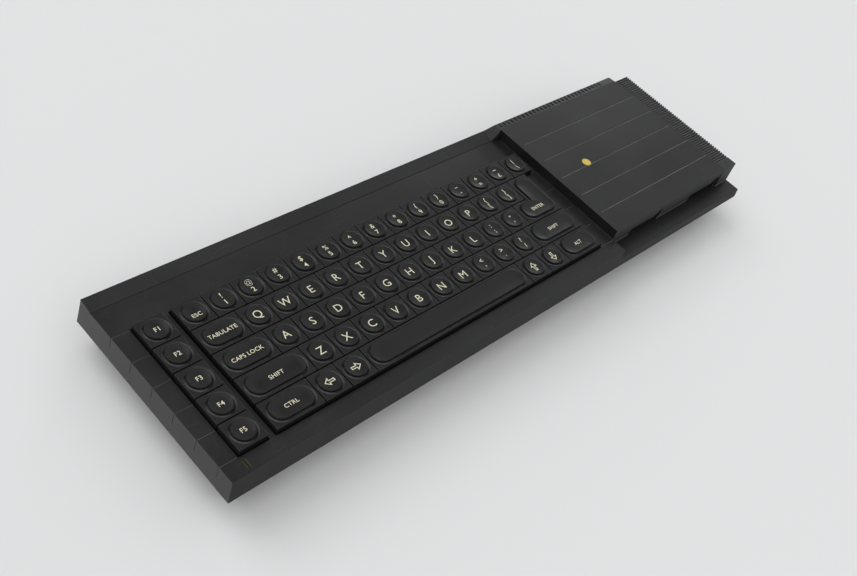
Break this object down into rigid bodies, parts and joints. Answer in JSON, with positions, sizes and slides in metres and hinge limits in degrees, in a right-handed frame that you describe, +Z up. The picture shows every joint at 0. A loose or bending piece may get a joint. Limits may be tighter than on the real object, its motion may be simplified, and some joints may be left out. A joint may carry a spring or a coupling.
{
  "type": "vintage home computer",
  "caption": "Low black home computer with a keyboard of round-topped keys and a raised ribbed block holding two tape-cartridge drives",
  "frame": {"origin": "bottom centre of the whole part, under its feet", "axes": "+X right along the keyboard, +Y to the rear, +Z up"},
  "size_m": [0.472, 0.138, 0.046],
  "materials": {
    "case": "fine moulded texture",
    "tray": "fine moulded texture",
    "keys": "satin",
    "feet": "soft",
    "steel": "zinc plated",
    "plate": "plain sheet",
    "frame": "moulded",
    "mat": "soft",
    "film": "clear film",
    "board": "solder resist",
    "chips": "moulded",
    "sockets": "moulded",
    "cans": "sleeved",
    "lamp": "tinted",
    "drive_lamp": "tinted",
    "sticker": "printed",
    "roller": "ground"
  },
  "bodies": {
    "case": {"upper_case": "case", "lower_case": "tray", "rubber_feet": "feet", "screws": "steel", "keyboard_frame": "frame", "rubber_mat": "mat", "membrane": "film", "keyboard_backplate": "plate", "keyboard_tails": "film", "main_board": "board", "processor": "chips", "custom_chips": "chips", "memory_chips": "chips", "capacitors": "cans", "regulator": "chips", "heat_sink": "plate", "sounder": "chips", "network_jacks": "sockets", "power_inlet": "sockets", "monitor_socket": "sockets", "aerial_modulator": "steel", "serial_sockets": "sockets", "rom_connector": "sockets", "expansion_connector": "sockets", "reset_switch": "chips", "power_lamp": "lamp", "drive_frame_1": "frame", "drive_frame_2": "frame", "drive_motors": "steel", "drive_heads": "steel", "drive_lamps": "drive_lamp", "yellow_sticker": "sticker"},
    "f1_key": {"f1_key": "keys"},
    "f2_key": {"f2_key": "keys"},
    "f3_key": {"f3_key": "keys"},
    "f4_key": {"f4_key": "keys"},
    "f5_key": {"f5_key": "keys"},
    "esc_key": {"esc_key": "keys"},
    "tab_key": {"tab_key": "keys"},
    "caps_lock_key": {"caps_lock_key": "keys"},
    "left_shift_key": {"left_shift_key": "keys"},
    "ctrl_key": {"ctrl_key": "keys"},
    "left_arrow_key": {"left_arrow_key": "keys"},
    "right_arrow_key": {"right_arrow_key": "keys"},
    "space_bar": {"space_bar": "keys"},
    "up_arrow_key": {"up_arrow_key": "keys"},
    "down_arrow_key": {"down_arrow_key": "keys"},
    "alt_key": {"alt_key": "keys"},
    "right_shift_key": {"right_shift_key": "keys"},
    "enter_key": {"enter_key": "keys"},
    "number_row_keys": {"number_row_keys": "keys"},
    "upper_row_keys": {"upper_row_keys": "keys"},
    "home_row_keys": {"home_row_keys": "keys"},
    "lower_row_keys": {"lower_row_keys": "keys"},
    "reset_button": {"reset_button": "keys"},
    "capstan_1": {"capstan_1": "roller"},
    "capstan_2": {"capstan_2": "roller"},
    "left_cover": {"left_cover": "tray"},
    "right_cover": {"right_cover": "tray"},
    "rom_cover": {"rom_cover": "tray"}
  },
  "joints": [
    {"name": "f1_key_press", "type": "slide", "parent": "case", "child": "f1_key", "axis": [0, 0, -1], "range_m": [0, 0.0035], "stiffness_N_per_m": 150, "springref_m": -0.0015},
    {"name": "f2_key_press", "type": "slide", "parent": "case", "child": "f2_key", "axis": [0, 0, -1], "range_m": [0, 0.0035], "stiffness_N_per_m": 150, "springref_m": -0.0015},
    {"name": "f3_key_press", "type": "slide", "parent": "case", "child": "f3_key", "axis": [0, 0, -1], "range_m": [0, 0.0035], "stiffness_N_per_m": 150, "springref_m": -0.0015},
    {"name": "f4_key_press", "type": "slide", "parent": "case", "child": "f4_key", "axis": [0, 0, -1], "range_m": [0, 0.0035], "stiffness_N_per_m": 150, "springref_m": -0.0015},
    {"name": "f5_key_press", "type": "slide", "parent": "case", "child": "f5_key", "axis": [0, 0, -1], "range_m": [0, 0.0035], "stiffness_N_per_m": 150, "springref_m": -0.0015},
    {"name": "esc_key_press", "type": "slide", "parent": "case", "child": "esc_key", "axis": [0, 0, -1], "range_m": [0, 0.0035], "stiffness_N_per_m": 150, "springref_m": -0.0015},
    {"name": "tab_key_press", "type": "slide", "parent": "case", "child": "tab_key", "axis": [0, 0, -1], "range_m": [0, 0.0035], "stiffness_N_per_m": 150, "springref_m": -0.0015},
    {"name": "caps_lock_key_press", "type": "slide", "parent": "case", "child": "caps_lock_key", "axis": [0, 0, -1], "range_m": [0, 0.0035], "stiffness_N_per_m": 150, "springref_m": -0.0015},
    {"name": "left_shift_key_press", "type": "slide", "parent": "case", "child": "left_shift_key", "axis": [0, 0, -1], "range_m": [0, 0.0035], "stiffness_N_per_m": 150, "springref_m": -0.0015},
    {"name": "ctrl_key_press", "type": "slide", "parent": "case", "child": "ctrl_key", "axis": [0, 0, -1], "range_m": [0, 0.0035], "stiffness_N_per_m": 150, "springref_m": -0.0015},
    {"name": "left_arrow_key_press", "type": "slide", "parent": "case", "child": "left_arrow_key", "axis": [0, 0, -1], "range_m": [0, 0.0035], "stiffness_N_per_m": 150, "springref_m": -0.0015},
    {"name": "right_arrow_key_press", "type": "slide", "parent": "case", "child": "right_arrow_key", "axis": [0, 0, -1], "range_m": [0, 0.0035], "stiffness_N_per_m": 150, "springref_m": -0.0015},
    {"name": "space_bar_press", "type": "slide", "parent": "case", "child": "space_bar", "axis": [0, 0, -1], "range_m": [0, 0.0035], "stiffness_N_per_m": 300, "springref_m": -0.0015},
    {"name": "up_arrow_key_press", "type": "slide", "parent": "case", "child": "up_arrow_key", "axis": [0, 0, -1], "range_m": [0, 0.0035], "stiffness_N_per_m": 150, "springref_m": -0.0015},
    {"name": "down_arrow_key_press", "type": "slide", "parent": "case", "child": "down_arrow_key", "axis": [0, 0, -1], "range_m": [0, 0.0035], "stiffness_N_per_m": 150, "springref_m": -0.0015},
    {"name": "alt_key_press", "type": "slide", "parent": "case", "child": "alt_key", "axis": [0, 0, -1], "range_m": [0, 0.0035], "stiffness_N_per_m": 150, "springref_m": -0.0015},
    {"name": "right_shift_key_press", "type": "slide", "parent": "case", "child": "right_shift_key", "axis": [0, 0, -1], "range_m": [0, 0.0035], "stiffness_N_per_m": 150, "springref_m": -0.0015},
    {"name": "enter_key_press", "type": "slide", "parent": "case", "child": "enter_key", "axis": [0, 0, -1], "range_m": [0, 0.0035], "stiffness_N_per_m": 150, "springref_m": -0.0015},
    {"name": "number_row_keys_press", "type": "slide", "parent": "case", "child": "number_row_keys", "axis": [0, 0, -1], "range_m": [0, 0.0035], "stiffness_N_per_m": 900, "springref_m": -0.0015},
    {"name": "upper_row_keys_press", "type": "slide", "parent": "case", "child": "upper_row_keys", "axis": [0, 0, -1], "range_m": [0, 0.0035], "stiffness_N_per_m": 900, "springref_m": -0.0015},
    {"name": "home_row_keys_press", "type": "slide", "parent": "case", "child": "home_row_keys", "axis": [0, 0, -1], "range_m": [0, 0.0035], "stiffness_N_per_m": 900, "springref_m": -0.0015},
    {"name": "lower_row_keys_press", "type": "slide", "parent": "case", "child": "lower_row_keys", "axis": [0, 0, -1], "range_m": [0, 0.0035], "stiffness_N_per_m": 900, "springref_m": -0.0015},
    {"name": "reset_press", "type": "slide", "parent": "case", "child": "reset_button", "axis": [-1, 0, 0], "range_m": [0, 0.0015], "stiffness_N_per_m": 400, "springref_m": -0.001},
    {"name": "capstan_1_spin", "type": "hinge", "parent": "case", "child": "capstan_1", "pos_m": [0.1285, -0.0004, 0.03], "axis": [0, 0, 1], "continuous": true},
    {"name": "capstan_2_spin", "type": "hinge", "parent": "case", "child": "capstan_2", "pos_m": [0.2022, -0.0004, 0.03], "axis": [0, 0, 1], "continuous": true},
    {"name": "left_cover_pull", "type": "slide", "parent": "case", "child": "left_cover", "axis": [-1, 0, 0], "range_m": [0, 0.03]},
    {"name": "right_cover_pull", "type": "slide", "parent": "case", "child": "right_cover", "axis": [1, 0, 0], "range_m": [0, 0.03]},
    {"name": "rom_cover_pull", "type": "slide", "parent": "case", "child": "rom_cover", "axis": [0, 1, 0], "range_m": [0, 0.02]}
  ]
}
